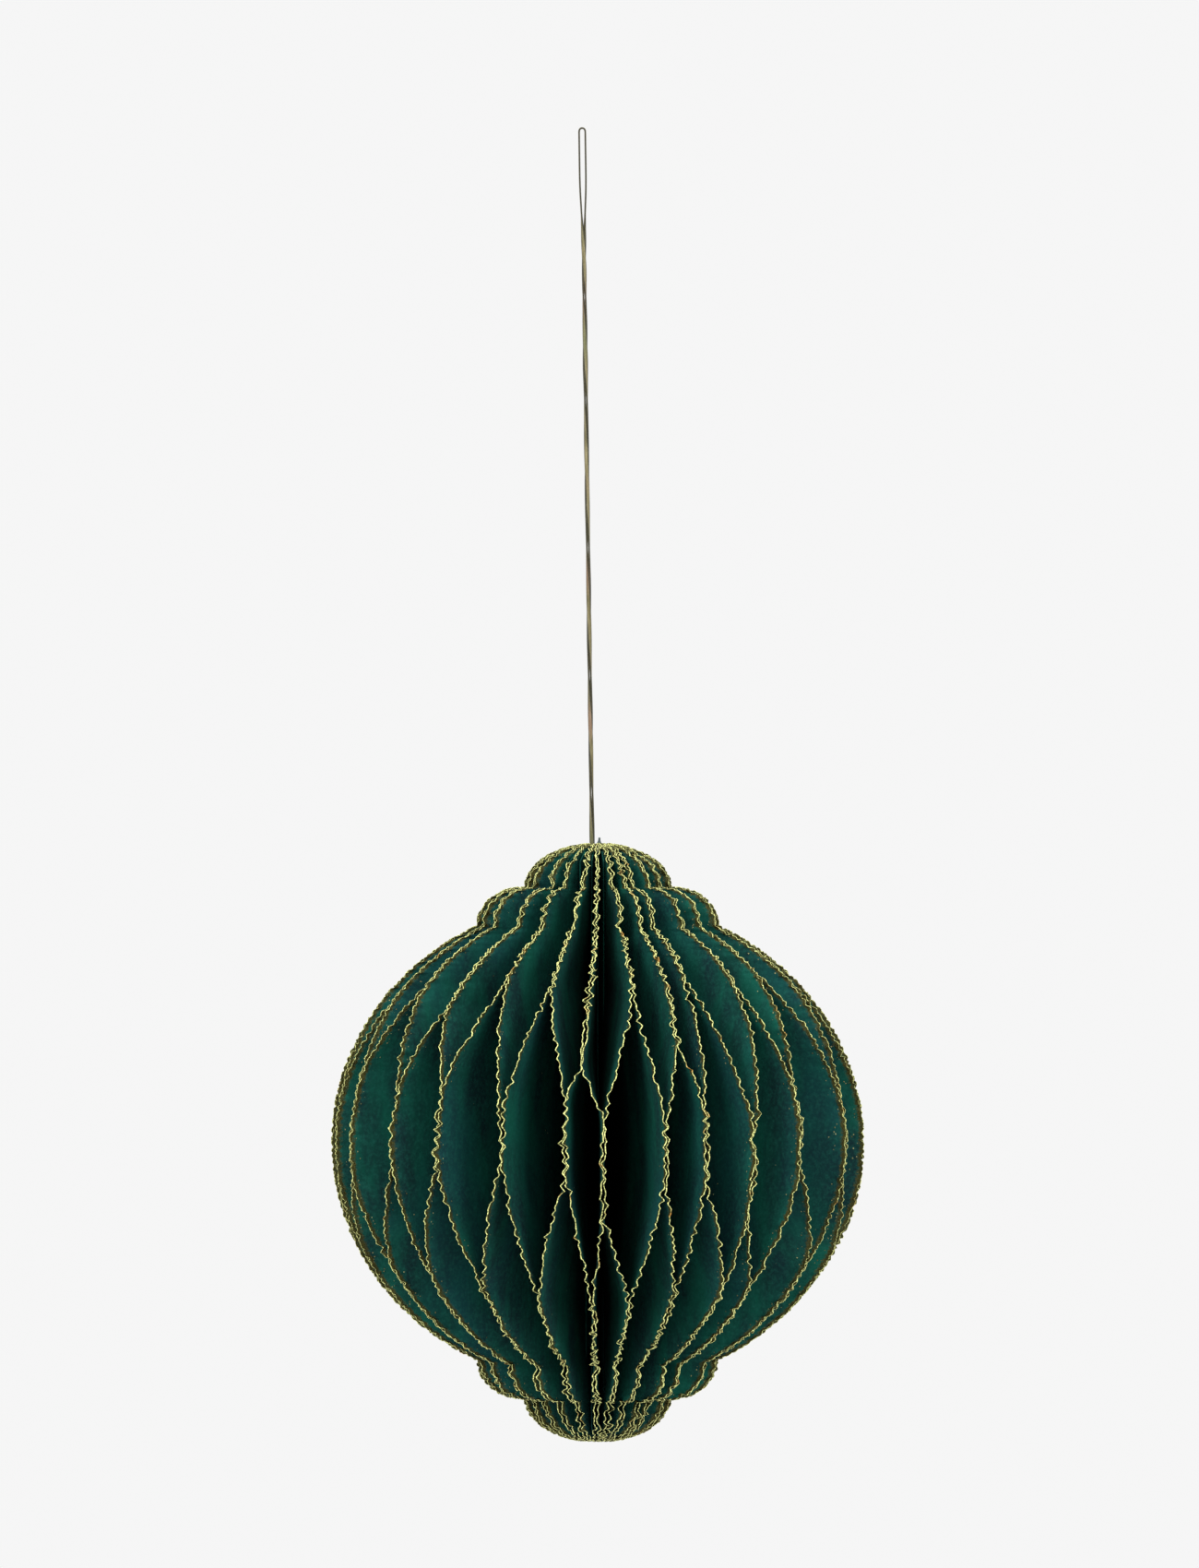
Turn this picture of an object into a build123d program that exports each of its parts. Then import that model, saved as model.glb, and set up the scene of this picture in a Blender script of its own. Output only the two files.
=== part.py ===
from build123d import *
from math import acos, cos, degrees, radians, sin
import os

# A paper honeycomb ball that hangs from a ribbon loop. Radial paper leaves fan out
# from a spine and make a ball with a collar and a small dome at each end. The end
# leaves are card covers with magnets, which meet face to face at the back when the
# ball is open. The front leaf stays with the spine and the others fold towards it.
# Millimetres. +Z is up and -Y is the front. The origin is where the ribbon loop
# hangs, on the inside of its top.

# Leaf outline, measured from the ball's axis and from the ball's centre
ball_radius = 75.0
ball_half_height = 68.6
neck_radius = 34.0
collar_rise = 10.7
collar_top_radius = 22.0
dome_radius = 20.7
dome_rise = 12.5

# Leaves and covers
leaves_per_side = 25
paper_thickness = 0.2
cover_thickness = 0.5
fold_clearance = 0.1
spine_radius = 3.2

# Magnets in the covers
magnet_radius = 3.0
magnet_clearance = 0.05
magnet_margin = 13.0
magnet_height = 34.0

# Spine thread and its knot
thread_radius = 0.35
thread_clearance = 0.05
thread_margin = 6.0
thread_knot_radius = 0.8
thread_knot_height = 1.8

# Ribbon loop and its knot
ribbon_reach = 201.5
ribbon_tube_radius = 0.65
ribbon_end_gap = 0.1
strand_gap = 0.2
loop_half_width = 1.1
hook_share = 0.95
ball_lean = 4.4
knot_depth = 5.0
knot_height = 3.0
knot_rounding = 0.4
knot_clearance = 0.3
knot_to_thread = 1.0

# Heights and angles that follow
neck_angle = degrees(acos(neck_radius / ball_radius))
neck_height = ball_half_height * sin(radians(neck_angle))
dome_base_height = neck_height + collar_rise
top_height = dome_base_height + dome_rise
ball_centre_z = -(ribbon_reach + top_height)
leaf_angle = 180 / (leaves_per_side + 1)
front_azimuth = -90
seam_azimuth = 90
knot_top_z = -(ribbon_reach + knot_depth)
thread_top_z = knot_top_z - knot_height - knot_to_thread
thread_bottom_z = ball_centre_z - top_height + thread_margin

# The ribbon's knot is two strands wide and lies against one side of the open spine
strand_offset = ribbon_tube_radius + strand_gap / 2
ribbon_knot_radius = strand_offset + ribbon_tube_radius
ribbon_lean = ball_lean - (spine_radius - ribbon_knot_radius - knot_clearance)

# A cover starts where the leaf beside it has room for the card and its clearance
seam_offset = (fold_clearance + cover_thickness) / 2
card_reach = seam_offset + cover_thickness / 2 + fold_clearance
half_paper_room = paper_thickness / 2 * cos(radians(leaf_angle))
cover_spine_radius = (card_reach + half_paper_room) / sin(radians(leaf_angle))

# The magnets lie a margin inside the cover's curved edge at their own height
edge_at_magnets = ball_radius * (1 - (magnet_height / ball_half_height) ** 2) ** 0.5
magnet_reach = edge_at_magnets - magnet_margin


def radial_plane(azimuth, shift_x=0):
    """An upright plane through the ball's centre: its x runs out from the axis, its y up."""
    outward = Vector(cos(radians(azimuth)), sin(radians(azimuth)), 0)
    return Plane(
        origin=(ball_lean + shift_x, 0, ball_centre_z),
        x_dir=outward,
        z_dir=outward.cross(Vector(0, 0, 1)),
    )


def leaf_outline(inner_radius):
    """The leaf's outline: half the ball's profile, cut along the spine edge."""
    dome_angle = degrees(acos(inner_radius / dome_radius))
    with BuildLine() as outline:
        EllipticalCenterArc((0, 0), ball_radius, ball_half_height, arc_size=neck_angle)
        collar = EllipticalCenterArc(
            (collar_top_radius, neck_height),
            neck_radius - collar_top_radius,
            collar_rise,
            arc_size=90,
        )
        dome = EllipticalCenterArc(
            (0, dome_base_height), dome_radius, dome_rise, arc_size=dome_angle
        )
        Line(collar @ 1, dome @ 0)
        Line(dome @ 1, (inner_radius, 0))
        mirror(about=Plane.XZ)
    return outline.edges()


leaf_edges = leaf_outline(spine_radius)
cover_edges = leaf_outline(cover_spine_radius)
magnet_places = [(magnet_reach, magnet_height), (magnet_reach, -magnet_height)]


def save(sub_part, name):
    sub_part.part.label = name
    export_step(sub_part.part, f"parts/{name}.step")


def paper_leaf(name, azimuth):
    with BuildPart() as leaf:
        with BuildSketch(radial_plane(azimuth)):
            make_face(leaf_edges)
        extrude(amount=paper_thickness / 2, both=True)
    save(leaf, name)


def card_cover(side, name):
    """A card cover and its two disc magnets, on one side of the seam at the back."""
    seam_plane = radial_plane(seam_azimuth, side * seam_offset)
    with BuildPart() as cover:
        with BuildSketch(seam_plane):
            make_face(cover_edges)
            with Locations(magnet_places):
                Circle(magnet_radius + magnet_clearance, mode=Mode.SUBTRACT)
        extrude(amount=cover_thickness / 2, both=True)
    save(cover, f"{name}_cover")
    with BuildPart() as magnets:
        with BuildSketch(seam_plane):
            with Locations(magnet_places):
                Circle(magnet_radius)
        extrude(amount=cover_thickness / 2, both=True)
    save(magnets, f"{name}_magnets")


def barrel_knot(name, top_plane, radius, height):
    """A knot pulled tight, as a rounded barrel below its top plane."""
    with BuildPart() as knot:
        with BuildSketch(top_plane):
            Circle(radius)
        extrude(amount=-height)
        fillet(knot.edges().filter_by(GeomType.CIRCLE), knot_rounding)
    save(knot, name)


os.makedirs("parts", exist_ok=True)

paper_leaf("front_leaf", front_azimuth)
for number in range(1, leaves_per_side + 1):
    paper_leaf(f"left_leaf_{number:02d}", front_azimuth - number * leaf_angle)
    paper_leaf(f"right_leaf_{number:02d}", front_azimuth + number * leaf_angle)
card_cover(-1, "left")
card_cover(1, "right")

# The thread lies along the front leaf's spine edge and ends in a small knot
thread_y = thread_radius + thread_clearance - spine_radius
with BuildPart() as spine_thread:
    with BuildSketch(Plane((ball_lean, thread_y, thread_bottom_z))):
        Circle(thread_radius)
    extrude(amount=thread_top_z - thread_bottom_z)
save(spine_thread, "spine_thread")

thread_knot_y = thread_y + thread_knot_radius - thread_radius
thread_knot_plane = Plane((ball_lean, thread_knot_y, thread_bottom_z))
barrel_knot("thread_knot", thread_knot_plane, thread_knot_radius, thread_knot_height)

# The ribbon's knot sits in the spine's open centre, under the upper dome's top
ribbon_knot_plane = Plane((ribbon_lean, 0, knot_top_z))
barrel_knot("ribbon_knot", ribbon_knot_plane, ribbon_knot_radius, knot_height)

# The ribbon runs up from its knot, over the hook and back down beside itself
strand_end_z = knot_top_z + ribbon_end_gap
hook_radius = hook_share * loop_half_width
with BuildPart() as ribbon_loop:
    with BuildLine(Plane.XZ) as route:
        FilletPolyline(
            (ribbon_lean - strand_offset, strand_end_z),
            (-loop_half_width, ribbon_tube_radius),
            (loop_half_width, ribbon_tube_radius),
            (ribbon_lean + strand_offset, strand_end_z),
            radius=hook_radius,
        )
    with BuildSketch(Plane(route.line @ 0, z_dir=route.line % 0)):
        Circle(ribbon_tube_radius)
    sweep()
save(ribbon_loop, "ribbon_loop")
ribbon_length = sum(edge.length for edge in route.edges())
print("hook arc radius", round(hook_radius, 2), "ribbon length", round(ribbon_length, 1))
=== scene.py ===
"""A paper honeycomb ball on a ribbon loop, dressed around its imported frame."""

import math

import bpy
import numpy as np
from bpy.props import FloatProperty, FloatVectorProperty, PointerProperty
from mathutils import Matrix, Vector


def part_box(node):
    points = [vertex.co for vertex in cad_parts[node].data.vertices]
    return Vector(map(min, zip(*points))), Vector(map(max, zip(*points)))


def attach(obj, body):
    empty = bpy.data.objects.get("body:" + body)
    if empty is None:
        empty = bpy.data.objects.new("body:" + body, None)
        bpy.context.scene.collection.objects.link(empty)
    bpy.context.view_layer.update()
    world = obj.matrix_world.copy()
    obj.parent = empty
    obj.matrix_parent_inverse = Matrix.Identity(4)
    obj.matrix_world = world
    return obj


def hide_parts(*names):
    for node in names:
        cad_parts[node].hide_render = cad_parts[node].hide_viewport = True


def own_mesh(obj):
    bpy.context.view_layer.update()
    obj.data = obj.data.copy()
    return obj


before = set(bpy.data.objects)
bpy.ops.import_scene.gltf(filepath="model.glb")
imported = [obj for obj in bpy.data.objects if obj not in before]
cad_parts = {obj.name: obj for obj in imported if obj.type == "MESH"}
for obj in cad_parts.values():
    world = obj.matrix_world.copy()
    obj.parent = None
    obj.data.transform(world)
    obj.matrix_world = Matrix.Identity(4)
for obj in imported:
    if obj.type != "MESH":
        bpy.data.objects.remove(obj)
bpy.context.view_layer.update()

bl_info = {
    "name": "Paper Honeycomb Ball",
    "version": (1, 0, 0),
    "blender": (4, 5, 0),
    "location": "View3D > Sidebar > Honeycomb Ball",
    "description": "Makes a hanging paper honeycomb ball, its ribbon loop and its stage",
    "category": "Add Mesh",
}

MM = 0.001
LEAVES_PER_SIDE = 25
COVER = LEAVES_PER_SIDE + 1
LEAF_ANGLE = math.pi / COVER
AXIS_X = sum(corner[0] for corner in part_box("front_leaf")) / 2
CENTRE_Z = sum(corner[2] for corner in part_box("front_leaf")) / 2
TOP_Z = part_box("front_leaf")[1][2]

# Seeds, so that every build draws the same ball
OPENING_SEED = 7
LEAF_SEED = 1000
BOW_SEED = 500
COVER_SEED = 40
WEAR_SEED = 3
PAIR_SEEDS = {"ends": 200, "waists": 400}

# How the ball has opened. A leaf is glued to one neighbour near both ends of the ball
# (the end pairs) and to the other at the equator (the waist pairs). Each row is one
# pair, from the left round the front to the right, and gives where the pair stands in
# degrees from the front and at which heights in mm its two leaves part or join.
FIRST_END_PAIR = -5
END_PAIRS = (
    # dome degrees, upper degrees, parts below, lower degrees, joins again below, foot gap
    (-72, -70.8, 41, -76.0, -30, 1.2),
    (-60, -57.5, 44, -61.0, -32, 1.3),
    (-40, -42.7, 39, -46.0, -34, 1.4),
    (-27, -27.0, 46, -30.6, -38, 1.3),
    (-10.5, -13.2, 44, -15.8, -40, 1.4),
    (-0.3, -3.7, 22, -1.3, -42, 1.0),
    (11, 9.4, 41, 8.6, -42, 0.7),
    (21, 18.9, 29, 20.2, -39, 0.6),
    (28, 26.2, 47, 33.6, -39, 0.6),
    (44, 42.7, 45, 42.8, -38, 0.6),
    (58, 56.0, 48, 62.0, -33, 0.7),
    (77, 75.0, 46, 77.0, -30, 0.8),
)
FIRST_WAIST_PAIR = -5
WAIST_PAIRS = (
    # degrees, joined below, parts again below
    (-66.9, 20, -9),
    (-49.8, 15, -4),
    (-36.4, 18, -5),
    (-20.9, 10, -4),
    (-6.9, 14, -8),
    (1.1, 9, -19),
    (14.6, 7, -11),
    (23.7, 12, -9),
    (35.1, 4, -20),
    (48.6, 16, -6),
    (67.4, 14, -9),
)
# A pair without a row strays from its even place by up to this many degrees.
STRAY = 1.8
# The height in mm at which an end pair stands at its dome degrees
DOME_HEIGHT = 72
# The gap of an end pair changes at these heights in mm: it is the dome gap on the lower
# dome, the foot gap of its row on the lower collar and the pair gap from there up.
FOOT_HEIGHTS = (-90, -72, -69, -63, -57)
DOME_GAP = 1.2
# How far a leaf that is glued to a cover stands from the seam
COVER_GAP = 0.8 * MM

# The two ribbon strands wind round each other: depth below the hook in mm, and turn in
# degrees.
RIBBON_TURNS = (
    (24, 0),
    (36, 90),
    (47, 180),
    (61, 270),
    (76, 360),
    (97, 450),
    (118, 540),
    (136, 630),
    (154, 720),
    (170, 810),
    (187, 900),
    (203, 980),
)
# The turn that the strands have reached at the knot
LAST_TURN = 1000.0
# Above the turns the two strands hang side by side from the hook, at these depths in mm.
HOOK_DEPTHS = (0.0, 2.0, 7.0, 16.0)
# The ribbon's width varies by this share, between marks this many points apart.
WEAR = 0.06
WEAR_STEP = 9

# The spine thread: half a twist in each pitch, and a loose end that leans away from the
# spine, stands above the dome and frays to these half widths.
THREAD_STEP = 0.4 * MM
THREAD_PITCH = 1.6 * MM
TIP_RISE = 2.0 * MM
TIP_LEAN = (0.4 * MM, 1.9 * MM)
TIP_HALF_WIDTHS = (0.75 * MM, 0.3 * MM)

# How far to the right of the ball's axis the camera stands
CAMERA_SHIFT = 0.5 * MM
FLOOR_HALF_SIZE = 5.0
LIGHTS = (
    # name, offset from the ball's centre, size, power
    ("key_softbox", (-1.1, -1.6, 0.9), 0.9, 26.0),
    ("fill_softbox", (1.2, -1.7, 0.5), 0.9, 20.0),
    ("top_softbox", (0.0, -0.3, 1.5), 1.0, 14.0),
)


class LeafSettings(bpy.types.PropertyGroup):
    ball_radius: FloatProperty(
        name="Ball radius", description="Leaf reach at the equator",
        default=75.0 * MM, unit="LENGTH",
    )
    ball_half_height: FloatProperty(
        name="Ball half height", description="Height of the ball's ellipse above the equator",
        default=68.6 * MM, unit="LENGTH",
    )
    neck_radius: FloatProperty(
        name="Neck radius", description="Leaf reach where the ball meets the collar",
        default=34.0 * MM, unit="LENGTH",
    )
    collar_rise: FloatProperty(
        name="Collar rise", description="Height of the collar above the neck",
        default=10.7 * MM, unit="LENGTH",
    )
    collar_top_radius: FloatProperty(
        name="Collar top radius", description="Where the collar's ledge begins to round down",
        default=22.0 * MM, unit="LENGTH",
    )
    dome_radius: FloatProperty(
        name="Dome radius", description="Leaf reach at the foot of the dome",
        default=20.7 * MM, unit="LENGTH",
    )
    dome_rise: FloatProperty(
        name="Dome rise", description="Height of the dome above its ledge",
        default=12.5 * MM, unit="LENGTH",
    )
    spine_radius: FloatProperty(
        name="Spine radius", description="Distance from the axis to the leaf's sewn edge",
        default=3.2 * MM, unit="LENGTH",
    )
    root_reach: FloatProperty(
        name="Root reach", description="How far the stiff strip by the spine reaches",
        default=14.0 * MM, unit="LENGTH",
    )
    paper_thickness: FloatProperty(
        name="Paper thickness", description="Thickness of one leaf",
        default=0.22 * MM, unit="LENGTH",
    )
    rim_radius: FloatProperty(
        name="Rim radius", description="Half the width of the glitter bead on the torn edge",
        default=0.165 * MM, unit="LENGTH",
    )
    ripple: FloatProperty(
        name="Ripple", description="How far the torn edge wanders to each side",
        default=0.85 * MM, unit="LENGTH",
    )
    ripple_length: FloatProperty(
        name="Ripple length", description="Usual distance from one turn of the ripple to the next",
        default=1.65 * MM, unit="LENGTH",
    )
    wander: FloatProperty(
        name="Wander", description="Slow waves along the edge, under the ripple",
        default=0.55 * MM, unit="LENGTH",
    )
    wander_length: FloatProperty(
        name="Wander length", description="Usual distance from one slow wave to the next",
        default=7.0 * MM, unit="LENGTH",
    )
    pair_gap: FloatProperty(
        name="Pair gap", description="Distance between the edges of two glued leaves",
        default=0.6 * MM, unit="LENGTH",
    )
    edge_step: FloatProperty(
        name="Edge step", description="Distance between points along the torn edge",
        default=0.55 * MM, unit="LENGTH",
    )
    paper_colour: FloatVectorProperty(
        name="Paper", description="Deep green of the handmade paper", subtype="COLOR",
        size=4, min=0.0, max=1.0, default=(0.0026, 0.068, 0.046, 1.0),
    )
    paper_shade: FloatVectorProperty(
        name="Paper mottling", description="Bluer, darker patches in the paper", subtype="COLOR",
        size=4, min=0.0, max=1.0, default=(0.0038, 0.023, 0.024, 1.0),
    )
    glitter_light: FloatVectorProperty(
        name="Glitter, light", description="Pale gold flakes", subtype="COLOR",
        size=4, min=0.0, max=1.0, default=(0.92, 0.95, 0.37, 1.0),
    )
    # Dark olive of the glitter's overspray on the paper, also used as painted shade on the bead's
    # flanks
    glitter_dark_and_bead_shade: FloatVectorProperty(
        name="Glitter, dark", description="Olive and amber flakes", subtype="COLOR",
        size=4, min=0.0, max=1.0, default=(0.050, 0.046, 0.010, 1.0),
    )


class RibbonSettings(bpy.types.PropertyGroup):
    width: FloatProperty(
        name="Ribbon width", description="Width of the flat ribbon",
        default=1.2 * MM, unit="LENGTH",
    )
    thickness: FloatProperty(
        name="Ribbon thickness", description="Thickness of the flat ribbon",
        default=0.5 * MM, unit="LENGTH",
    )
    hook_half_width: FloatProperty(
        name="Hook half width", description="Half the distance between the strands at the hook",
        default=0.88 * MM, unit="LENGTH",
    )
    strand_half_gap: FloatProperty(
        name="Strand half gap", description="Half the distance between the wound strands",
        default=0.4 * MM, unit="LENGTH",
    )
    colour: FloatVectorProperty(
        name="Ribbon", description="Dull gold of the ribbon", subtype="COLOR",
        size=4, min=0.0, max=1.0, default=(0.095, 0.080, 0.028, 1.0),
    )


class StageSettings(bpy.types.PropertyGroup):
    camera_distance: FloatProperty(
        name="Camera distance", description="From the ball's axis to the camera",
        default=2.7, unit="LENGTH",
    )
    view_width: FloatProperty(
        name="View width", description="Width of the view at the ball's axis",
        default=338.5 * MM, unit="LENGTH",
    )
    view_rise: FloatProperty(
        name="View rise", description="Height of the camera above the ball's centre",
        default=101.2 * MM, unit="LENGTH",
    )
    floor_drop: FloatProperty(
        name="Floor drop", description="From the ball's centre down to the floor",
        default=0.65, unit="LENGTH",
    )
    backdrop: FloatVectorProperty(
        name="Backdrop", description="Pale grey of the room and floor", subtype="COLOR",
        size=4, min=0.0, max=1.0, default=(0.92, 0.92, 0.92, 1.0),
    )
    floor_colour: FloatVectorProperty(
        name="Floor", description="Matt grey of the floor", subtype="COLOR",
        size=4, min=0.0, max=1.0, default=(0.76, 0.76, 0.76, 1.0),
    )


# ---------------------------------------------------------------- materials

BLUE_BLOTCH = (0.005, 0.046, 0.052, 1.0)
PALE_FIBRE = (0.012, 0.11, 0.082, 1.0)
AMBER_FLAKE = (0.60, 0.30, 0.07, 1.0)
DARK_SPECK = (0.09, 0.09, 0.03, 1.0)
LIGHT_SPECK = (0.42, 0.40, 0.19, 1.0)
RIBBON_GLINT = (0.27, 0.23, 0.12, 1.0)
RIBBON_BLUSH = (0.20, 0.115, 0.075, 1.0)
RIBBON_MOSS = (0.075, 0.088, 0.030, 1.0)
RIBBON_SELVEDGE = (0.022, 0.021, 0.008, 1.0)
THREAD_DARK = (0.012, 0.022, 0.02, 1.0)
THREAD_LIGHT = (0.05, 0.075, 0.07, 1.0)
NICKEL_DARK = (0.62, 0.61, 0.58, 1.0)
NICKEL_LIGHT = (0.74, 0.73, 0.70, 1.0)


def new_material(name):
    material = bpy.data.materials.new(name)
    material.use_nodes = True
    tree = material.node_tree
    shader = tree.nodes["Principled BSDF"]
    return material, tree, shader


def place(tree):
    """Object coordinates. Every piece is made about the same origin."""
    return tree.nodes.new("ShaderNodeTexCoord").outputs["Object"]


def noise(tree, where, scale, detail=3.0, roughness=0.55):
    node = tree.nodes.new("ShaderNodeTexNoise")
    node.inputs["Scale"].default_value = scale
    node.inputs["Detail"].default_value = detail
    node.inputs["Roughness"].default_value = roughness
    tree.links.new(where, node.inputs["Vector"])
    return node.outputs["Fac"]


def flakes(tree, where, scale):
    node = tree.nodes.new("ShaderNodeTexVoronoi")
    node.inputs["Scale"].default_value = scale
    tree.links.new(where, node.inputs["Vector"])
    return node


def ramp(tree, value, low, high, start=0.0, end=1.0):
    node = tree.nodes.new("ShaderNodeMapRange")
    node.inputs["From Min"].default_value = low
    node.inputs["From Max"].default_value = high
    node.inputs["To Min"].default_value = start
    node.inputs["To Max"].default_value = end
    tree.links.new(value, node.inputs["Value"])
    return node.outputs["Result"]


def maths(tree, operation, first, second=None):
    node = tree.nodes.new("ShaderNodeMath")
    node.operation = operation
    for socket, value in zip(node.inputs, (first, second)):
        if isinstance(value, (int, float)):
            socket.default_value = value
        elif value is not None:
            tree.links.new(value, socket)
    return node.outputs["Value"]


def mix(tree, share, first, second):
    node = tree.nodes.new("ShaderNodeMix")
    node.data_type = "RGBA"
    sockets = [s for s in node.inputs if s.type == "RGBA"]
    for socket, value in zip(sockets, (first, second)):
        if isinstance(value, bpy.types.NodeSocket):
            tree.links.new(value, socket)
        else:
            socket.default_value = value
    tree.links.new(share, node.inputs["Factor"])
    return next(s for s in node.outputs if s.type == "RGBA")


def bump(tree, height, distance, strength, normal=None):
    node = tree.nodes.new("ShaderNodeBump")
    node.inputs["Strength"].default_value = strength
    node.inputs["Distance"].default_value = distance
    tree.links.new(height, node.inputs["Height"])
    if normal is not None:
        tree.links.new(normal, node.inputs["Normal"])
    return node.outputs["Normal"]


def leaf_material(settings):
    """Green handmade paper that carries gold glitter where its torn edge is near."""
    material, tree, shader = new_material("green_paper_gold_edge")
    where = place(tree)
    upright = tree.nodes.new("ShaderNodeMapping")
    upright.inputs["Scale"].default_value = (1.0, 1.0, 0.4)
    tree.links.new(where, upright.inputs["Vector"])
    attribute = tree.nodes.new("ShaderNodeAttribute")
    attribute.attribute_name = "edge_distance"
    distance = attribute.outputs["Fac"]

    mottle = ramp(tree, noise(tree, upright.outputs["Vector"], 95, 5, 0.62), 0.38, 0.62)
    blotch = ramp(tree, noise(tree, upright.outputs["Vector"], 38, 2), 0.5, 0.72, 0.0, 0.75)
    fibre = noise(tree, where, 900, 4, 0.7)
    green = mix(tree, mottle, tuple(settings.paper_shade), tuple(settings.paper_colour))
    tinted = mix(tree, blotch, green, BLUE_BLOTCH)
    paper = mix(tree, ramp(tree, fibre, 0.45, 0.8, 0.0, 0.6), tinted, PALE_FIBRE)

    grain = flakes(tree, where, 3000)
    tone = tree.nodes.new("ShaderNodeSeparateColor")
    tree.links.new(grain.outputs["Color"], tone.inputs["Color"])
    patches = ramp(tree, noise(tree, where, 230, 2), 0.62, 0.74)
    light = mix(tree, patches, tuple(settings.glitter_light), AMBER_FLAKE)
    scatter = ramp(tree, tone.outputs["Red"], 0.0, 1.0, -0.10, 0.14)
    # Near the crest the bead is pale gold glitter. Its flanks read made-up distances and take the
    # dark olive: painted shade on the bead's sides. On the paper the dark olive is the glitter's
    # real overspray.
    crest = ramp(tree, maths(tree, "ADD", distance, scatter), 0.03, 0.20, 1.0, 0.0)
    gold = mix(tree, crest, tuple(settings.glitter_dark_and_bead_shade), light)

    ragged = ramp(tree, noise(tree, where, 1300, 2), 0.3, 0.7, -0.45, 0.45)
    coated = ramp(tree, maths(tree, "ADD", distance, ragged), 0.6, 1.5, 1.0, 0.0)
    stray = flakes(tree, where, 1250)
    stray_tone = tree.nodes.new("ShaderNodeSeparateColor")
    tree.links.new(stray.outputs["Color"], stray_tone.inputs["Color"])
    dot = ramp(tree, stray.outputs["Distance"], 0.20, 0.30, 1.0, 0.0)
    rare = maths(
        tree, "GREATER_THAN", stray_tone.outputs["Green"],
        ramp(tree, maths(tree, "POWER", distance, 0.5), 0.7, 2.0, 0.45, 0.998),
    )
    speck = maths(tree, "MULTIPLY", dot, rare)
    bright = mix(tree, stray_tone.outputs["Blue"], DARK_SPECK, LIGHT_SPECK)
    coated_paper = mix(tree, coated, paper, gold)
    covered = maths(tree, "MAXIMUM", coated, speck)
    only_speck = maths(tree, "MULTIPLY", speck, maths(tree, "SUBTRACT", 1.0, coated))

    tree.links.new(mix(tree, only_speck, coated_paper, bright), shader.inputs["Base Color"])
    tree.links.new(ramp(tree, covered, 0.0, 1.0, 0.0, 0.3), shader.inputs["Metallic"])
    tree.links.new(ramp(tree, covered, 0.0, 1.0, 0.85, 0.5), shader.inputs["Roughness"])
    shader.inputs["Specular IOR Level"].default_value = 0.1
    soft = bump(tree, fibre, 0.00015, 0.6)
    lumps = maths(tree, "MULTIPLY", grain.outputs["Distance"], covered)
    rough = bump(tree, lumps, 0.0003, 0.9, soft)
    tree.links.new(rough, shader.inputs["Normal"])
    return material


def ribbon_material(settings):
    """Narrow woven ribbon with a dull metallic thread along its length."""
    material, tree, shader = new_material("dull_gold_ribbon")
    where = place(tree)
    drawn = tree.nodes.new("ShaderNodeMapping")
    drawn.inputs["Scale"].default_value = (6.0, 6.0, 0.35)
    tree.links.new(where, drawn.inputs["Vector"])
    threads = noise(tree, drawn.outputs["Vector"], 420)
    metal = mix(tree, ramp(tree, threads, 0.4, 0.7), tuple(settings.colour), RIBBON_GLINT)
    blush = ramp(tree, noise(tree, where, 34, 1), 0.5, 0.62, 0.0, 0.7)
    warm = mix(tree, blush, metal, RIBBON_BLUSH)
    mossy = ramp(tree, noise(tree, where, 27, 1), 0.52, 0.6, 0.0, 0.6)
    woven = mix(tree, mossy, warm, RIBBON_MOSS)
    attribute = tree.nodes.new("ShaderNodeAttribute")
    attribute.attribute_name = "selvedge"
    selvedge = ramp(tree, attribute.outputs["Fac"], 0.3, 0.9)
    colour = mix(tree, selvedge, woven, RIBBON_SELVEDGE)
    tree.links.new(colour, shader.inputs["Base Color"])
    shader.inputs["Metallic"].default_value = 0.25
    shader.inputs["Roughness"].default_value = 0.45
    weave = tree.nodes.new("ShaderNodeTexWave")
    weave.bands_direction = "Z"
    weave.inputs["Scale"].default_value = 1400
    tree.links.new(where, weave.inputs["Vector"])
    tree.links.new(bump(tree, weave.outputs["Fac"], 0.0001, 0.5), shader.inputs["Normal"])
    return material


def thread_material():
    """Dark sewing thread."""
    material, tree, shader = new_material("dark_thread")
    where = place(tree)
    colour = mix(tree, noise(tree, where, 2500, 3), THREAD_DARK, THREAD_LIGHT)
    tree.links.new(colour, shader.inputs["Base Color"])
    shader.inputs["Roughness"].default_value = 0.7
    return material


def magnet_material():
    """Nickel plating with faint handling marks."""
    material, tree, shader = new_material("nickel_plate")
    where = place(tree)
    marks = noise(tree, where, 600, 4)
    tree.links.new(ramp(tree, marks, 0.3, 0.7, 0.18, 0.36), shader.inputs["Roughness"])
    colour = mix(tree, marks, NICKEL_DARK, NICKEL_LIGHT)
    tree.links.new(colour, shader.inputs["Base Color"])
    shader.inputs["Metallic"].default_value = 1.0
    return material


def floor_material(colour):
    """Matt floor paint."""
    material, _, shader = new_material("pale_floor")
    shader.inputs["Base Color"].default_value = colour
    shader.inputs["Roughness"].default_value = 0.9
    return material


# ---------------------------------------------------------------- meshes


def new_piece(name, points, faces, material, smooth=True):
    mesh = bpy.data.meshes.new(name)
    mesh.from_pydata([tuple(p) for p in points], [], faces)
    mesh.validate()
    mesh.materials.append(material)
    piece = bpy.data.objects.new(name, mesh)
    bpy.context.scene.collection.objects.link(piece)
    mesh.polygons.foreach_set("use_smooth", [smooth] * len(mesh.polygons))
    return piece


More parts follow.
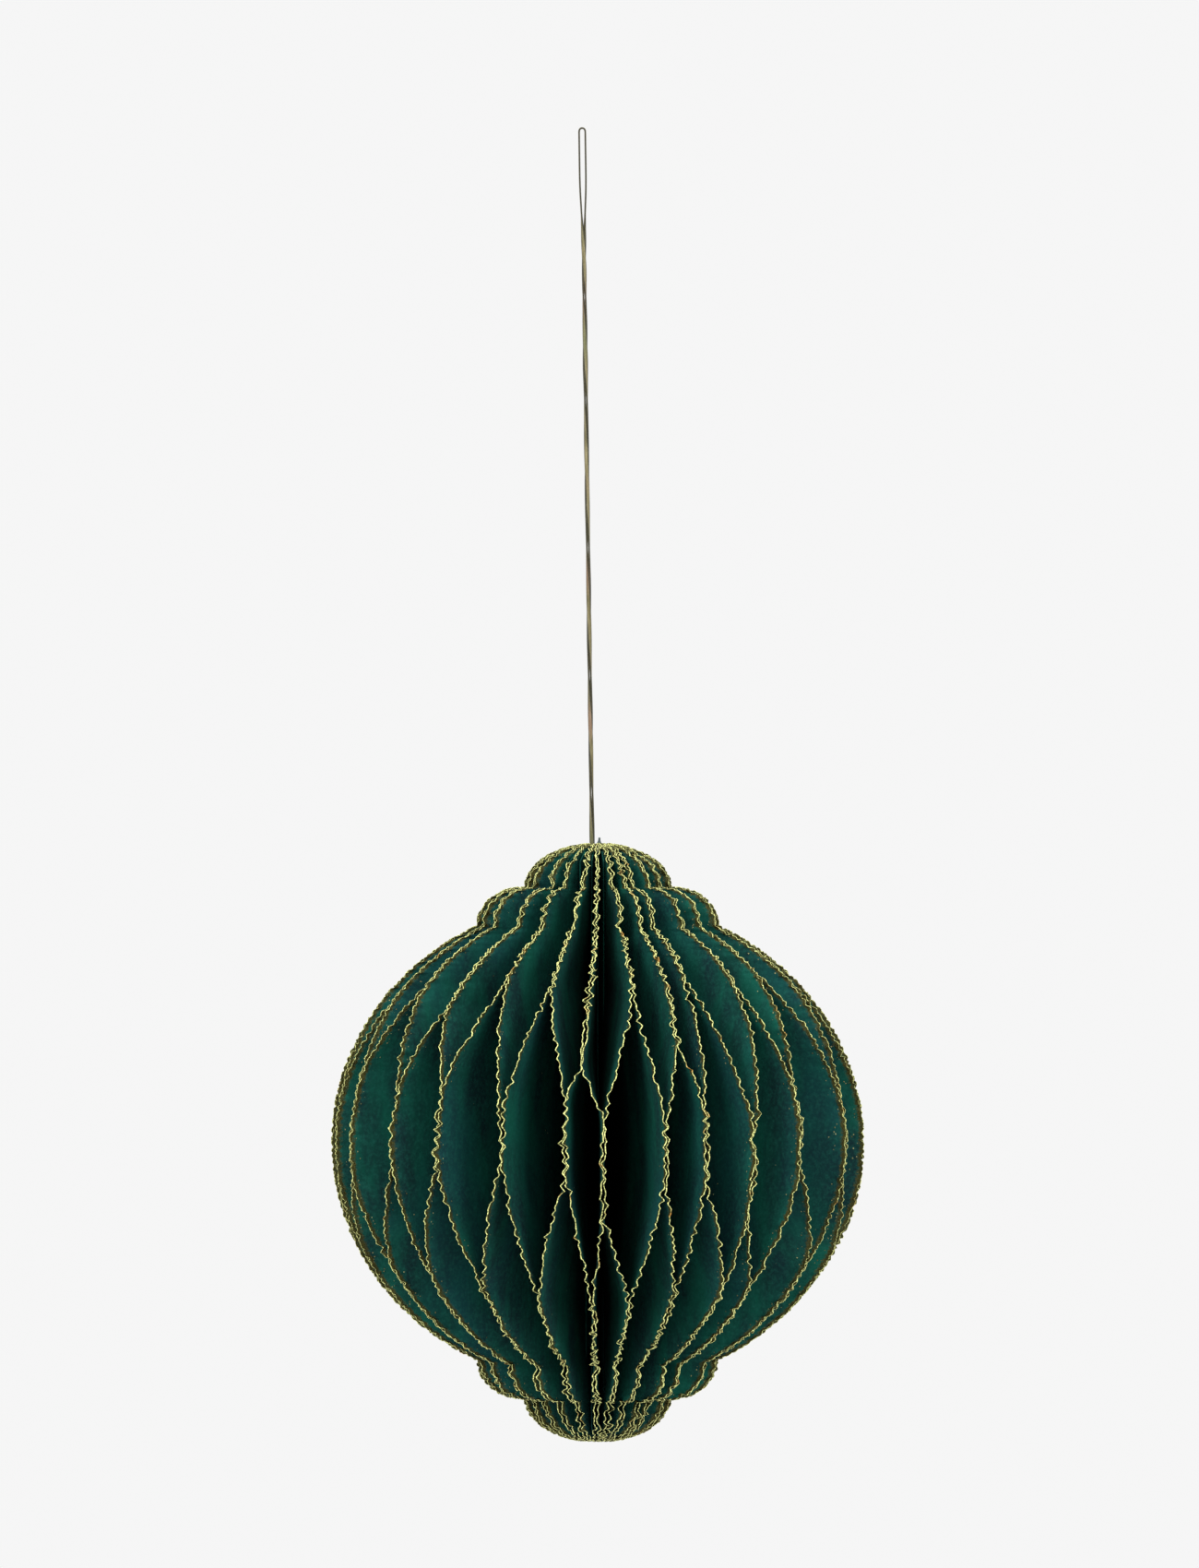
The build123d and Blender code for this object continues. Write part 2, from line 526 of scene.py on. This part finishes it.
def skinned(name, lines, material, smooth=True, closed=False):
    """A piece from equally long lines of points that lie side by side round it.

    A closed piece runs on from its last points to its first. Any other has two end caps.
    """
    points = np.stack(lines, axis=1)
    count, size = points.shape[:2]
    faces = []
    for row in range(count if closed else count - 1):
        here, there = row * size, (row + 1) % count * size
        for step in range(size):
            after = (step + 1) % size
            faces.append((here + step, here + after, there + after, there + step))
    if not closed:
        faces.append(tuple(reversed(range(size))))
        faces.append(tuple(range((count - 1) * size, count * size)))
    return new_piece(name, points.reshape(-1, 3), faces, material, smooth)


def mark_points(piece, name, values):
    """One number per point, for the material to read."""
    layer = piece.data.attributes.new(name, "FLOAT", "POINT")
    layer.data.foreach_set("value", values)


def unit(vectors):
    """Each row scaled to length one."""
    return vectors / np.linalg.norm(vectors, axis=1)[:, None]


def resampled(line, step):
    """Points a step apart along a polyline given as an array."""
    lengths = np.linalg.norm(np.diff(line, axis=0), axis=1)
    along = np.concatenate(([0.0], np.cumsum(lengths)))
    count = int(round(along[-1] / step)) + 1
    places = np.linspace(0.0, along[-1], count)
    columns = [np.interp(places, along, line[:, i]) for i in range(line.shape[1])]
    return np.stack(columns, axis=1), places


def ellipse(centre_r, centre_z, radius, rise, start, end, count=60):
    angles = np.linspace(start, end, count)
    return np.stack((centre_r + radius * np.cos(angles), centre_z + rise * np.sin(angles)), 1)


def leaf_outline(settings):
    """(r, z) points of the torn edge, from the lower dome's top round to the upper's."""
    neck_angle = math.acos(settings.neck_radius / settings.ball_radius)
    neck_z = settings.ball_half_height * math.sin(neck_angle)
    ledge_z = neck_z + settings.collar_rise
    dome_end = math.acos(settings.spine_radius / settings.dome_radius)
    collar_middle = settings.collar_top_radius
    collar_reach = settings.neck_radius - collar_middle
    upper = np.concatenate((
        ellipse(0, 0, settings.ball_radius, settings.ball_half_height, 0, neck_angle),
        ellipse(collar_middle, neck_z, collar_reach, settings.collar_rise, 0, math.pi / 2),
        ellipse(0, ledge_z, settings.dome_radius, settings.dome_rise, 0, dome_end),
    ))
    lower = upper[::-1] * (1, -1)
    return resampled(np.concatenate((lower[:-1], upper)), settings.edge_step)


def zigzag(places, step, reach, rng):
    """A wandering zigzag along the edge, of straight stretches with uneven turns."""
    turns = [places[0] - step]
    while turns[-1] < places[-1] + step:
        turns.append(turns[-1] + step * rng.uniform(0.45, 1.6))
    sides = np.where(np.arange(len(turns)) % 2, 1.0, -1.0)
    heights = sides * rng.uniform(0.15, 1.0, len(turns)) + rng.normal(0, 0.25, len(turns))
    return reach * np.interp(places, turns, heights)


def smoothed(values, reach):
    """A weighted running mean, so that a zigzag turns into soft waves."""
    kernel = np.hanning(2 * reach + 3)[1:-1]
    padded = np.pad(values, reach, mode="edge")
    return np.convolve(padded, kernel / kernel.sum(), mode="valid")


class Opening:
    """Where every leaf stands at every height once the ball is open."""

    def __init__(self):
        rng = np.random.RandomState(OPENING_SEED)
        self.ends, self.waists = {}, {}
        for pair in range(-COVER, COVER + 1):
            middle = math.degrees((2 * pair - 0.5) * LEAF_ANGLE)
            self.ends[pair] = (
                middle, middle + rng.uniform(-STRAY, STRAY), rng.uniform(34, 45),
                middle + rng.uniform(-STRAY, STRAY), rng.uniform(-42, -33), rng.uniform(0.6, 1.4),
            )
            middle = math.degrees((2 * pair + 0.5) * LEAF_ANGLE)
            self.waists[pair] = (
                middle + rng.uniform(-STRAY, STRAY), rng.uniform(7, 18), rng.uniform(-17, -5)
            )
        for step, row in enumerate(END_PAIRS):
            self.ends[FIRST_END_PAIR + step] = row
        for step, row in enumerate(WAIST_PAIRS):
            self.waists[FIRST_WAIST_PAIR + step] = row
        # The last leaf on each side is glued to its cover
        right = self.ends[COVER // 2]
        self.ends[COVER // 2] = (180.0, 180.0, right[2], 180.0, right[4], 0.6)
        left = self.waists[-COVER // 2]
        self.waists[-COVER // 2] = (-180.0, left[1], left[2])

    def leaf(self, number, heights):
        """A leaf's azimuth at each height, and how near it is to its end pair (1) or
        its waist pair (0)."""
        rng = np.random.RandomState(BOW_SEED + number)
        dome, upper, parts, lower, joins, _ = self.ends[(number + 1) // 2]
        waist, joined, opens = self.waists[number // 2]
        z = heights / MM
        bow_up, bow_down = rng.uniform(1.1, 1.45), rng.uniform(0.95, 1.25)
        up = np.clip((z - joined) / (parts - joined), 0, 1) ** bow_up
        down = np.clip((opens - z) / (opens - joins), 0, 1) ** bow_down
        drift = (dome - upper) * np.clip((z - parts) / (DOME_HEIGHT - parts), 0, 1)
        azimuth = waist + (upper - waist) * up + (lower - waist) * down + drift
        return np.radians(azimuth), np.maximum(up, down)


def leaf_side(number):
    """Which side of its pair a leaf is on: at the ends, and at the waist."""
    return (1.0, -1.0) if number % 2 == 0 else (-1.0, 1.0)


def around(radius, azimuth, height, sideways):
    """Points from radius, azimuth, height above the centre and a shift across the leaf."""
    x = AXIS_X + radius * np.sin(azimuth) + sideways * np.cos(azimuth)
    y = -radius * np.cos(azimuth) + sideways * np.sin(azimuth)
    return np.stack((x, y, CENTRE_Z + height), axis=-1)


# Lines of points run down a sheet. The inner ones stand at these shares of the way from
# the spine to the first band, and the bands lie this many mm in from the torn edge. Line
# by line, the ripple fades towards the spine and the azimuths are smoothed more.
INNER_SHARES = (0.0, 0.55)
EDGE_BANDS = (7.0, 3.0, 1.5, 0.6)
FADES = (0.0, 0.0, 0.0, 0.03, 0.28, 0.66)
SOFTENING = (24, 16, 8, 4, 2, 1)
COVER_BANDS = (3.0, 0.6)
# The glitter bead: where its lines stand round the torn edge, and the distance from the
# edge in mm that each tells the material. The flanks are told larger distances than their own, so
# they come out dark olive: painted shade on the bead's sides, which darkens the rims at the ball's
# silhouette.
BEAD_ANGLES = np.radians((112, 55, 0, -55, -112))
BEAD_DISTANCES_WITH_PAINTED_SHADE = (0.5, 0.11, 0.0, 0.11, 0.5)
# How far the points of a leaf may stand above its outline
TOP_MARGIN = 0.5 * MM

# The root strip keeps clear of the leaf's ends and torn edge. Its half thickness is in
# paper thicknesses.
ROOT_ROWS = 61
ROOT_END_MARGIN = 2 * MM
ROOT_EDGE_MARGIN = 1.5 * MM
ROOT_LEAST_WIDTH = 0.5 * MM
ROOT_HALF_THICKNESS = 0.67
FAR_FROM_EDGE = 20.0
# The visual card is this much thinner on each face than the CAD's.
CARD_INSET = 0.05 * MM


def spine_line(edge, reach):
    """(r, z) points along the sewn edge, each nearly level with its point of the torn edge."""
    z = edge[:, 1]
    level = 0.94 * z + 0.06 * np.linspace(z[0], z[-1], len(z))
    return np.stack((np.full(len(z), reach), level), axis=1)


def outward_of(edge):
    """Unit vectors square to the torn edge, pointing out of the leaf."""
    along = unit(np.gradient(edge, axis=0))
    return np.stack((along[:, 1], -along[:, 0]), axis=1)


def edge_distances(span, shares):
    """How far in mm every point of a sheet and its bead is from the torn edge. The bead's flanks
    get larger distances than their own, which paint them in shade.
    """
    sheet = [span * (1 - share) / MM for share in shares]
    bead = [np.full(len(span), distance) for distance in BEAD_DISTANCES_WITH_PAINTED_SHADE]
    return np.stack(sheet + bead + sheet[::-1], axis=1).ravel()


def leaf_mesh(name, number, settings, opening, material, shared):
    """One leaf: a thin sheet whose torn edge ripples and ends in a glitter bead."""
    rng = np.random.RandomState(LEAF_SEED + number)
    edge, places = leaf_outline(settings)
    count = len(edge)
    outward = outward_of(edge)
    end_pair, waist_pair = (number + 1) // 2, number // 2

    own = zigzag(places, settings.ripple_length, settings.ripple, rng)
    own += zigzag(places, settings.ripple_length * 0.45, settings.ripple * 0.25, rng)
    tear = zigzag(places, settings.ripple_length * 0.6, settings.ripple * 0.7, rng)
    tear = np.minimum(tear, 0.3 * settings.ripple)
    wave = smoothed(zigzag(places, settings.wander_length, settings.wander, rng), 5)
    heights = edge[:, 1]
    _, near_end = opening.leaf(number, heights)
    together = shared["ends"][end_pair] * near_end
    together = together + shared["waists"][waist_pair] * (1 - near_end)
    # A leaf ripples more with the neighbour that it is glued to than on its own
    ripple = 0.4 * own + together

    spine = spine_line(edge, settings.spine_radius)
    span = np.maximum(np.linalg.norm(edge - spine, axis=1), 1e-6)
    inner = 1 - np.minimum(EDGE_BANDS[0] * MM, 0.45 * span) / span
    shares = [share * inner for share in INNER_SHARES]
    for band in EDGE_BANDS:
        inwards = np.minimum(band * MM, 0.45 * span * band / EDGE_BANDS[0])
        shares.append(1 - inwards / span)

    half = settings.paper_thickness / 2
    end_side, waist_side = leaf_side(number)
    end_is_cover = abs(2 * end_pair - 0.5) > COVER - 1
    waist_is_cover = abs(2 * waist_pair + 0.5) > COVER - 1
    foot_gap = opening.ends[end_pair][5]
    end_gaps = (DOME_GAP, DOME_GAP, foot_gap, foot_gap, settings.pair_gap / MM)
    waist_gap = COVER_GAP if waist_is_cover else settings.pair_gap / 2
    lowest, highest = CENTRE_Z + heights[0], CENTRE_Z + heights[-1] + TOP_MARGIN

    def column(share, fade, offset, soften=1, outset=0.0):
        """One line of points down the leaf, share of the way from spine to edge."""
        rz = spine + (edge - spine) * np.reshape(share, (-1, 1))
        azimuth, near = opening.leaf(number, rz[:, 1])
        azimuth = smoothed(azimuth, soften)
        opened = np.interp(rz[:, 1] / MM, FOOT_HEIGHTS, end_gaps) * MM / 2
        end_gap = COVER_GAP if end_is_cover else opened
        sideways = end_side * end_gap * near + waist_side * waist_gap * (1 - near)
        slow = wave * np.clip(rz[:, 0] / settings.ball_radius, 0, 1) * math.sqrt(fade)
        sideways = sideways + ripple * fade + slow + offset
        rz = rz + outward * np.reshape(tear * fade + outset, (-1, 1))
        line = around(rz[:, 0], azimuth, rz[:, 1], sideways)
        line[:, 2] = np.clip(line[:, 2], lowest, highest)
        return line

    rows = list(zip(shares, FADES, SOFTENING))
    front = [column(share, fade, half, soften) for share, fade, soften in rows]
    back = [column(share, fade, -half, soften) for share, fade, soften in rows]
    slimmer = np.interp(edge[:, 0] / settings.neck_radius, (0.3, 1.0), (0.75, 1.0))
    lump = settings.rim_radius * slimmer * rng.uniform(0.72, 1.3, count)
    bead = []
    for angle in BEAD_ANGLES:
        radius = lump * rng.uniform(0.85, 1.15, count)
        bead.append(column(1.0, 1.0, radius * math.sin(angle), 1, radius * math.cos(angle)))
    piece = skinned(name, front + bead + back[::-1], material)
    mark_points(piece, "edge_distance", edge_distances(span, shares))
    return piece


def root_mesh(name, number, settings, material):
    """The flat strip of a leaf beside the spine, which isn't squashed when the ball folds.

    It is thicker than the sheet, so that no light shows through the folded stack.
    """
    edge, _ = leaf_outline(settings)
    top = edge[-1, 1] - ROOT_END_MARGIN
    heights = np.linspace(-top, top, ROOT_ROWS)
    reach = np.interp(heights, edge[:, 1], edge[:, 0]) - ROOT_EDGE_MARGIN
    reach = np.clip(reach, settings.spine_radius + ROOT_LEAST_WIDTH, settings.root_reach)
    start = np.full(ROOT_ROWS, settings.spine_radius)
    azimuth = np.full(ROOT_ROWS, number * LEAF_ANGLE)
    half = ROOT_HALF_THICKNESS * settings.paper_thickness
    corners = ((start, half), (reach, half), (reach, -half), (start, -half))
    lines = [around(radius, azimuth, heights, side) for radius, side in corners]
    piece = skinned(name, lines, material, smooth=False)
    mark_points(piece, "edge_distance", [FAR_FROM_EDGE] * len(piece.data.vertices))
    return piece


def cover_mesh(node, side, settings, material):
    """A stiff card cover faced with the same paper, flat at the seam."""
    rng = np.random.RandomState(COVER_SEED + side)
    edge, places = leaf_outline(settings)
    low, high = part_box(node)
    inner_reach = min(abs(low[1]), abs(high[1]))
    keep = edge[:, 0] > inner_reach
    edge, places = edge[keep], places[keep]
    count = len(edge)
    middle = (low[0] + high[0]) / 2
    half = (high[0] - low[0]) / 2 - CARD_INSET
    spine = spine_line(edge, inner_reach)
    outward = outward_of(edge)
    tear = zigzag(places, settings.ripple_length, settings.ripple * 0.5, rng)
    torn = edge + outward * np.minimum(tear, 0.0)[:, None]
    span = np.linalg.norm(torn - spine, axis=1)
    shares = [np.zeros(count), np.full(count, 0.5)]
    for band in COVER_BANDS:
        inwards = np.minimum(band * MM, 0.4 * span)
        shares.append(1 - inwards / np.maximum(span, 1e-6))
    lump = settings.rim_radius * rng.uniform(0.7, 1.15, count)

    def column(rz, offset):
        x = np.full(len(rz), middle) + offset
        return np.stack((x, rz[:, 0], CENTRE_Z + rz[:, 1]), axis=1)

    sheet = [spine + (torn - spine) * share[:, None] for share in shares]
    front = [column(rz, half) for rz in sheet]
    back = [column(rz, -half) for rz in sheet]
    bead = []
    for angle in BEAD_ANGLES:
        rz = torn + outward * (lump * math.cos(angle))[:, None]
        bead.append(column(rz, lump * math.sin(angle)))
    piece = skinned(f"{node}_board", front + bead + back[::-1], material)
    mark_points(piece, "edge_distance", edge_distances(span, shares))
    return piece


# Corners of a flat band's section, as shares of its half width and half thickness
BAND_CORNERS = (
    (1, 0.45), (0.55, 1), (0, 1), (-0.55, 1), (-1, 0.45),
    (-1, -0.45), (-0.55, -1), (0, -1), (0.55, -1), (1, -0.45),
)


def swept(name, line, across, half_widths, half_thickness, material):
    """A flat band along a line: across is its width direction at each point."""
    tangent = unit(np.gradient(line, axis=0))
    across = unit(across - tangent * np.sum(across * tangent, axis=1)[:, None])
    face = np.cross(tangent, across)
    lines = []
    for u, v in BAND_CORNERS:
        lines.append(line + across * (u * half_widths)[:, None] + face * v * half_thickness)
    piece = skinned(name, lines, material)
    mark_points(piece, "selvedge", [float(abs(u) == 1) for u, _ in BAND_CORNERS] * len(line))
    return piece


def trefoil(name, node, cord_share, material):
    """A round cord tied in a trefoil that fills the box of a CAD knot.

    The cord's radius is a share of half the knot's width.
    """
    low, high = (Vector(corner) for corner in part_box(node))
    middle, size = (low + high) / 2, (high - low) / 2
    radius = cord_share * size.x
    spread = (size.x - radius) / 3
    angles = np.linspace(0, 2 * math.pi, 121)[:-1]
    loop = np.stack((
        spread * (np.sin(angles) + 2 * np.sin(2 * angles)),
        spread * (np.cos(angles) - 2 * np.cos(2 * angles)),
        -(size.z - radius) * np.sin(3 * angles),
    ), axis=1)
    loop += np.array(middle)
    tangent = unit(np.roll(loop, -1, axis=0) - np.roll(loop, 1, axis=0))
    side = unit(np.cross(tangent, (0.0, 0.0, 1.0)))
    up = np.cross(side, tangent)
    lines = [
        loop + radius * (side * math.cos(angle) + up * math.sin(angle))
        for angle in np.linspace(0, 2 * math.pi, 11)[:-1]
    ]
    return skinned(name, lines, material, closed=True)


def spline_points(points, resolution):
    """Points along the smooth NURBS line that these points control."""
    curve = bpy.data.curves.new("route", "CURVE")
    curve.dimensions = "3D"
    curve.resolution_u = resolution
    spline = curve.splines.new("NURBS")
    spline.points.add(len(points) - 1)
    for place_on, point in zip(spline.points, points):
        place_on.co = (*point, 1.0)
    spline.order_u = 3
    spline.use_endpoint_u = True
    holder = bpy.data.objects.new("route", curve)
    bpy.context.scene.collection.objects.link(holder)
    bpy.context.view_layer.update()
    mesh = bpy.data.meshes.new_from_object(holder)
    line = np.array([tuple(v.co) for v in mesh.vertices])
    bpy.data.objects.remove(holder)
    bpy.data.curves.remove(curve)
    bpy.data.meshes.remove(mesh)
    return line


# ---------------------------------------------------------------- operators


def settings_of(context):
    scene = context.scene
    return scene.honeycomb_leaves, scene.honeycomb_ribbon, scene.honeycomb_stage


class BALL_OT_place_camera(bpy.types.Operator):
    """Place the long-lens camera level with the middle of the ball and its ribbon"""

    bl_idname = "ball.place_camera"
    bl_label = "Place Camera"

    def execute(self, context):
        _, _, stage = settings_of(context)
        camera = bpy.data.cameras.new("camera")
        camera.sensor_fit = "HORIZONTAL"
        camera.lens = camera.sensor_width * stage.camera_distance / stage.view_width
        camera.clip_end = 50.0
        holder = bpy.data.objects.new("camera", camera)
        holder.location = (
            AXIS_X + CAMERA_SHIFT, -stage.camera_distance, CENTRE_Z + stage.view_rise
        )
        holder.rotation_euler = (math.pi / 2, 0, 0)
        context.scene.collection.objects.link(holder)
        context.scene.camera = holder
        return {"FINISHED"}


class BALL_OT_hang_ribbon(bpy.types.Operator):
    """Hang the ribbon loop: two flat strands that wind round each other"""

    bl_idname = "ball.hang_ribbon"
    bl_label = "Hang Ribbon"

    def execute(self, context):
        _, settings, _ = settings_of(context)
        low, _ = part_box("ribbon_loop")
        knot_x = sum(corner[0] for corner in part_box("ribbon_knot")) / 2
        reach = -low[2]
        hung = len(HOOK_DEPTHS)
        depths = np.array([*HOOK_DEPTHS, *(depth for depth, _ in RIBBON_TURNS), reach / MM]) * MM
        turns = np.radians([0.0] * hung + [turn for _, turn in RIBBON_TURNS] + [LAST_TURN])
        gaps = np.full(len(depths), settings.strand_half_gap)
        gaps[:hung] = settings.hook_half_width
        gaps[hung] = settings.strand_half_gap * 1.2

        def strand(side):
            x = knot_x * depths / reach + side * gaps * np.cos(turns)
            y = side * gaps * np.sin(turns)
            z = -depths
            z[0] = settings.thickness
            return np.stack((x, y, z), axis=1)

        route = np.concatenate((strand(-1)[::-1], strand(1)))
        line = spline_points(route, 14)
        turn = np.interp(-line[:, 2], depths, turns)
        across = np.stack((-np.sin(turn), np.cos(turn), np.zeros(len(turn))), axis=1)
        rng = np.random.RandomState(WEAR_SEED)
        marks = np.arange(0, len(line) + WEAR_STEP, WEAR_STEP)
        wear = rng.normal(0, 1, len(marks))
        worn = 1 + WEAR * np.interp(np.arange(len(line)), marks, wear)
        widths = worn * settings.width / 2
        material = ribbon_material(settings)
        ribbon = swept("ribbon_band", line, across, widths, settings.thickness / 2, material)
        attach(ribbon, "ribbon")
        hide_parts("ribbon_loop")
        return {"FINISHED"}


class BALL_OT_sew_spine(bpy.types.Operator):
    """Make the spine thread with its loose end, and the knots of thread and ribbon"""

    bl_idname = "ball.sew_spine"
    bl_label = "Sew Spine"

    def execute(self, context):
        _, ribbon, _ = settings_of(context)
        thread = thread_material()
        low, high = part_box("spine_thread")
        x, y = (low[0] + high[0]) / 2, (low[1] + high[1]) / 2
        radius = (high[0] - low[0]) / 2
        height = np.arange(low[2], TOP_Z + TIP_RISE, THREAD_STEP)
        rise = np.clip((height - high[2]) / (TOP_Z - high[2]), 0, 1.3)
        line = np.stack((x + TIP_LEAN[0] * rise, y + TIP_LEAN[1] * rise, height), axis=1)
        turn = height / THREAD_PITCH * math.pi
        across = np.stack((np.cos(turn), np.sin(turn), np.zeros(len(turn))), axis=1)
        across[rise > 0.85] = (1.0, 0.0, 0.0)
        frayed = np.interp(rise, (0.0, 0.9, 1.0, 1.13), (radius, radius, *TIP_HALF_WIDTHS))
        twist = swept("spine_thread_twist", line, across, frayed, radius * 0.6, thread)
        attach(twist, "spine")
        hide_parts("spine_thread")
        knots = (
            ("thread_end_knot", "thread_knot", thread, "thread", 0.30),
            ("ribbon_tied_knot", "ribbon_knot", ribbon_material(ribbon), "ribbon", 0.42),
        )
        for name, node, material, slot, share in knots:
            knot = trefoil(name, node, share, material)
            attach(knot, "spine")
            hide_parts(node)
        return {"FINISHED"}


class BALL_OT_open_leaves(bpy.types.Operator):
    """Make the paper leaves as the open ball holds them, glued into honeycomb cells"""

    bl_idname = "ball.open_leaves"
    bl_label = "Open Leaves"

    def execute(self, context):
        settings, _, _ = settings_of(context)
        material = leaf_material(settings)
        opening = Opening()
        _, places = leaf_outline(settings)
        shared = {key: {} for key in PAIR_SEEDS}
        for key, seed in PAIR_SEEDS.items():
            for pair in range(-COVER, COVER + 1):
                rng = np.random.RandomState(seed + pair)
                shared[key][pair] = zigzag(places, settings.ripple_length, settings.ripple, rng)
        for number in range(-LEAVES_PER_SIDE, LEAVES_PER_SIDE + 1):
            side = "left" if number < 0 else "right"
            node = f"{side}_leaf_{abs(number):02d}" if number else "front_leaf"
            leaf = leaf_mesh(f"{node}_paper", number, settings, opening, material, shared)
            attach(leaf, node if number else "spine")
            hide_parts(node)
            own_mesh(leaf)
            root = root_mesh(f"{node}_root", number, settings, material)
            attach(root, node if number else "spine")
        return {"FINISHED"}


class BALL_OT_add_covers(bpy.types.Operator):
    """Make the two card covers at the back seam and plate their magnets"""

    bl_idname = "ball.add_covers"
    bl_label = "Add Covers"

    def execute(self, context):
        settings, _, _ = settings_of(context)
        material = bpy.data.materials["green_paper_gold_edge"]
        plating = magnet_material()
        for side, name in ((-1, "left"), (1, "right")):
            cover = cover_mesh(f"{name}_cover", side, settings, material)
            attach(cover, f"{name}_cover")
            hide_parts(f"{name}_cover")
            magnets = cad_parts[f"{name}_magnets"]
            magnets.data.materials.clear()
            magnets.data.materials.append(plating)
        return {"FINISHED"}


class BALL_OT_set_stage(bpy.types.Operator):
    """Lay the pale floor and hang the soft studio lights"""

    bl_idname = "ball.set_stage"
    bl_label = "Set Stage"

    def execute(self, context):
        _, _, stage = settings_of(context)
        scene = context.scene
        colour = tuple(stage.backdrop)
        floor_z = CENTRE_Z - stage.floor_drop
        half = FLOOR_HALF_SIZE
        square = ((-half, -half), (half, -half), (half, half), (-half, half))
        corners = [(x, y, floor_z) for x, y in square]
        matt = floor_material(tuple(stage.floor_colour))
        floor = new_piece("pale_floor", corners, [(0, 1, 2, 3)], matt, False)
        world = bpy.data.worlds.new("pale_room")
        world.use_nodes = True
        background = world.node_tree.nodes["Background"]
        background.inputs["Color"].default_value = colour
        background.inputs["Strength"].default_value = 1.0
        scene.world = world
        scene.view_settings.view_transform = "Standard"
        target = Vector((AXIS_X, 0.0, CENTRE_Z))
        for name, offset, size, power in LIGHTS:
            light = bpy.data.lights.new(name, "AREA")
            light.size = size
            light.energy = power
            holder = bpy.data.objects.new(name, light)
            holder.location = target + Vector(offset)
            holder.rotation_euler = Vector(offset).to_track_quat("Z", "Y").to_euler()
            scene.collection.objects.link(holder)
        return {"FINISHED"}


class BALL_PT_panel(bpy.types.Panel):
    bl_label = "Honeycomb Ball"
    bl_idname = "BALL_PT_panel"
    bl_space_type = "VIEW_3D"
    bl_region_type = "UI"
    bl_category = "Honeycomb Ball"

    def draw(self, context):
        for operator in OPERATORS:
            self.layout.operator(operator.bl_idname)
        for settings in settings_of(context):
            for name in settings.__annotations__:
                self.layout.prop(settings, name)


OPERATORS = (
    BALL_OT_place_camera,
    BALL_OT_hang_ribbon,
    BALL_OT_sew_spine,
    BALL_OT_open_leaves,
    BALL_OT_add_covers,
    BALL_OT_set_stage,
)
CLASSES = (LeafSettings, RibbonSettings, StageSettings, *OPERATORS, BALL_PT_panel)


def register():
    for cls in CLASSES:
        bpy.utils.register_class(cls)
    bpy.types.Scene.honeycomb_leaves = PointerProperty(type=LeafSettings)
    bpy.types.Scene.honeycomb_ribbon = PointerProperty(type=RibbonSettings)
    bpy.types.Scene.honeycomb_stage = PointerProperty(type=StageSettings)


def unregister():
    del bpy.types.Scene.honeycomb_stage
    del bpy.types.Scene.honeycomb_ribbon
    del bpy.types.Scene.honeycomb_leaves
    for cls in reversed(CLASSES):
        bpy.utils.unregister_class(cls)


def main():
    register()
    bpy.ops.ball.place_camera()
    bpy.ops.ball.hang_ribbon()
    bpy.ops.ball.sew_spine()
    bpy.ops.ball.open_leaves()
    bpy.ops.ball.add_covers()
    bpy.ops.ball.set_stage()


if __name__ == "__main__":
    main()
